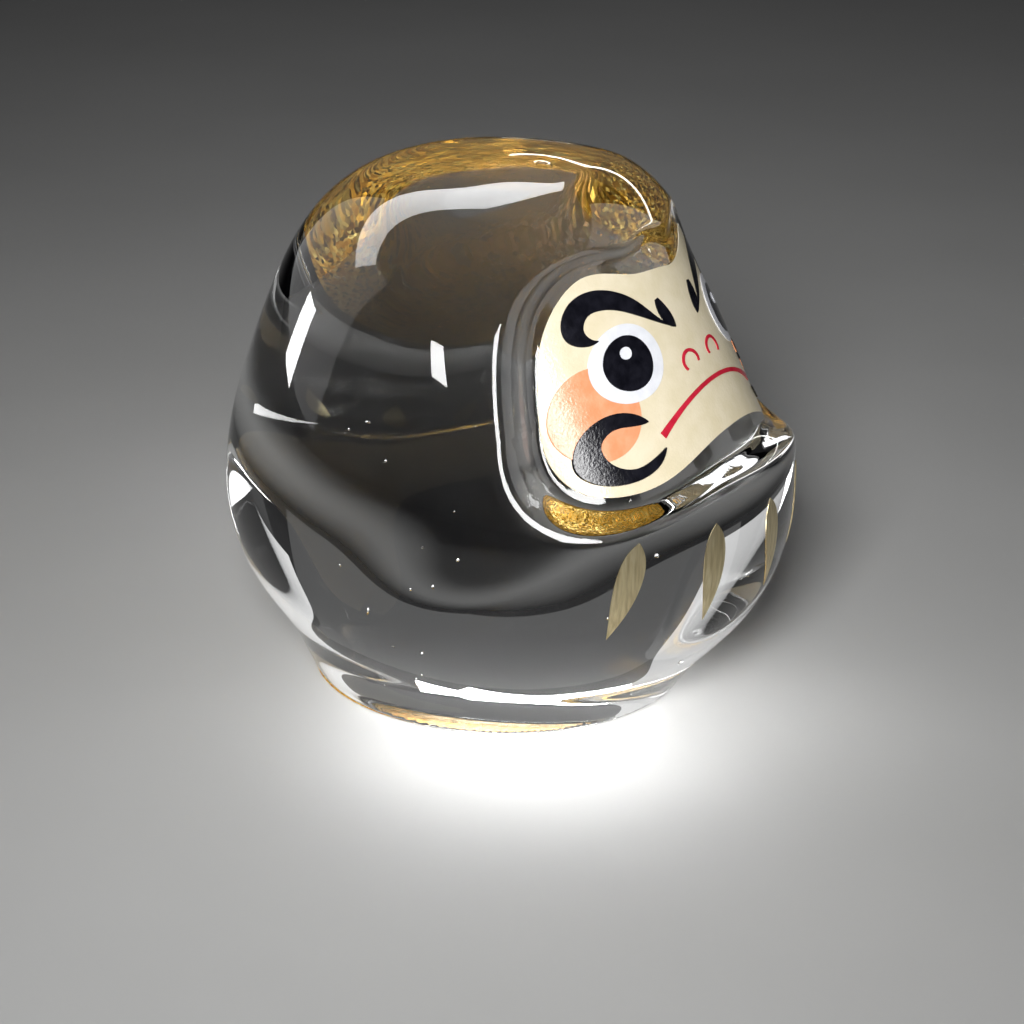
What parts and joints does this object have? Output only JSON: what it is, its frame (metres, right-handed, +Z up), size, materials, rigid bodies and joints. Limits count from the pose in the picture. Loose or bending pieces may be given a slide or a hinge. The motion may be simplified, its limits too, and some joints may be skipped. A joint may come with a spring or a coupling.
{
  "type": "daruma doll",
  "caption": "Small solid clear glass daruma doll with an enamel-painted face in a shallow recess, gold belly strokes and gold leaf under the flat foot.",
  "frame": {"origin": "centre of the flat foot, on the surface the doll stands on", "axes": "+Z up, the doll faces -Y, its own right hand is towards -X"},
  "size_m": [0.0556, 0.0558, 0.0517],
  "materials": {
    "clear_glass": "polished",
    "gold_leaf": "leafed",
    "cream_enamel": "gloss",
    "peach_enamel": "gloss",
    "white_enamel": "gloss",
    "black_enamel": "gloss",
    "red_enamel": "gloss",
    "gold_lacquer": "satin"
  },
  "bodies": {
    "root": {"glass_body": "clear_glass", "base_gold_leaf": "gold_leaf", "face_ground": "cream_enamel", "cheek_right": "peach_enamel", "cheek_left": "peach_enamel", "eye_white_right": "white_enamel", "eye_white_left": "white_enamel", "pupil_right": "black_enamel", "pupil_left": "black_enamel", "pupil_glint_right": "white_enamel", "pupil_glint_left": "white_enamel", "eyebrow_right": "black_enamel", "eyebrow_left": "black_enamel", "whisker_right": "black_enamel", "whisker_left": "black_enamel", "nostril_right": "red_enamel", "nostril_left": "red_enamel", "mouth": "red_enamel", "belly_stripe_centre": "gold_lacquer", "belly_stripe_inner_right": "gold_lacquer", "belly_stripe_inner_left": "gold_lacquer", "belly_stripe_outer_right": "gold_lacquer", "belly_stripe_outer_left": "gold_lacquer"}
  },
  "joints": []
}
